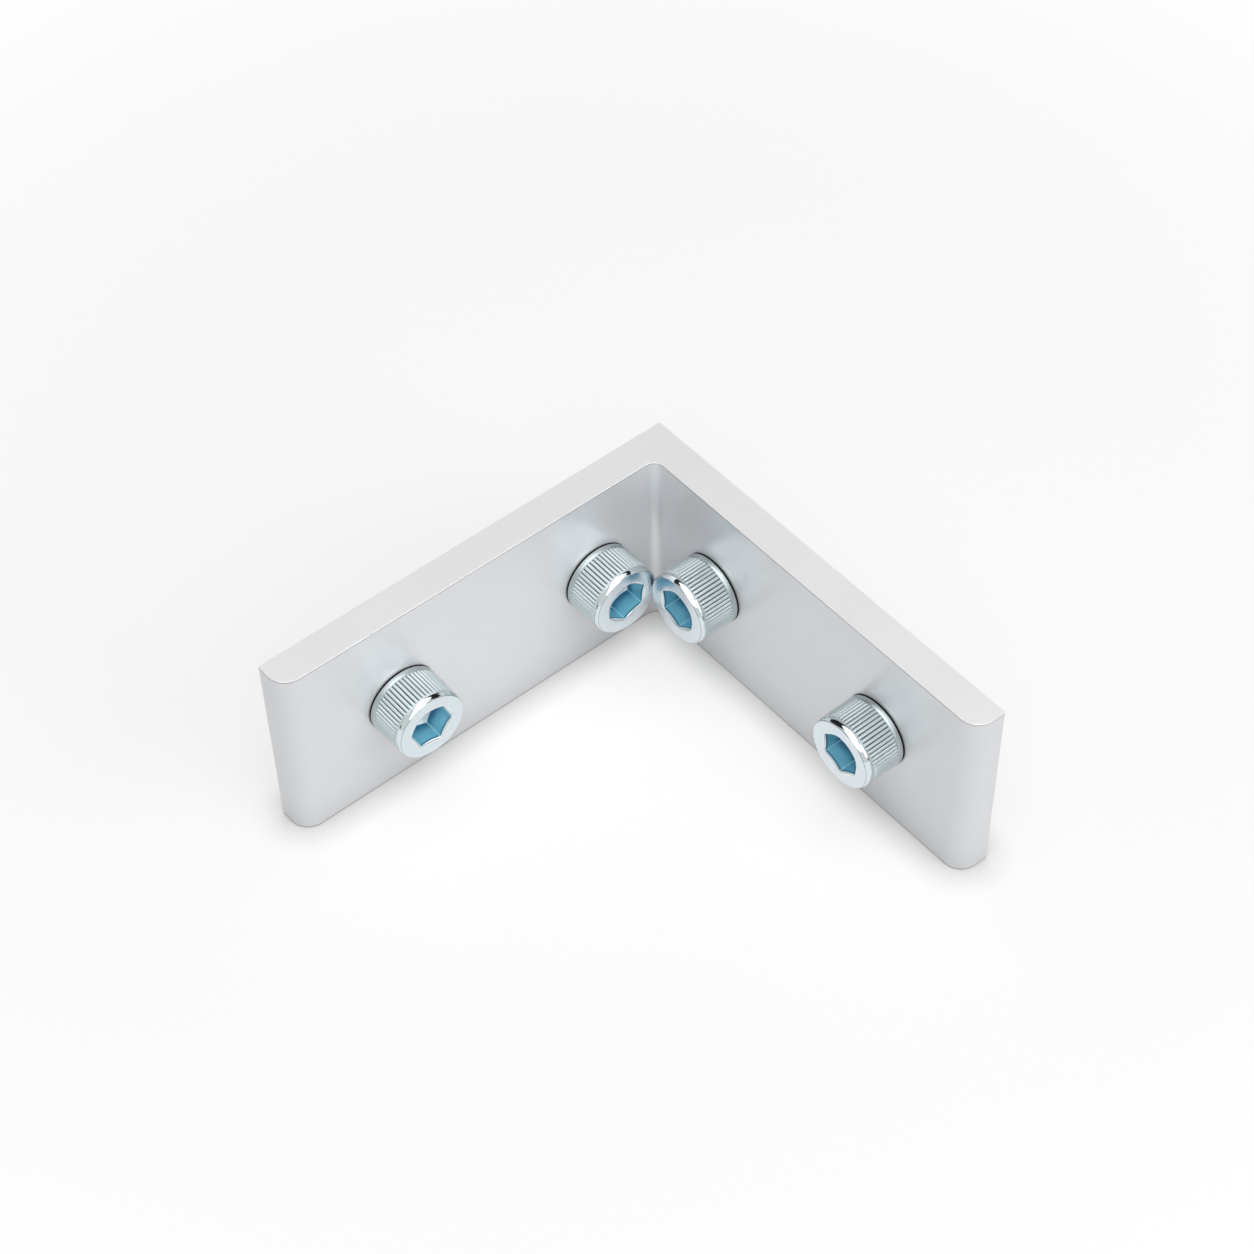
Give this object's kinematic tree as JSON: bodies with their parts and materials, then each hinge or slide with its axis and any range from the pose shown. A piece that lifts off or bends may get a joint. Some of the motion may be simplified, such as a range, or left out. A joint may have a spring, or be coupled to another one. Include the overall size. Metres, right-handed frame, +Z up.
{
  "type": "corner bracket",
  "caption": "Extruded aluminium L bracket with equal legs, held by knurled socket head cap screws through both legs.",
  "frame": {"origin": "outer corner of the bracket at its base edge", "axes": "+X and +Y along the outer faces of the legs, +Z up along the corner"},
  "size_m": [0.088, 0.088, 0.0366],
  "materials": {
    "anodised_aluminium": "natural satin anodised",
    "zinc_plated_steel": "bright blue-passivated zinc"
  },
  "bodies": {
    "root": {"bracket": "anodised_aluminium", "cap_screw_x_inner": "zinc_plated_steel", "cap_screw_x_outer": "zinc_plated_steel", "cap_screw_y_inner": "zinc_plated_steel", "cap_screw_y_outer": "zinc_plated_steel"}
  },
  "joints": []
}
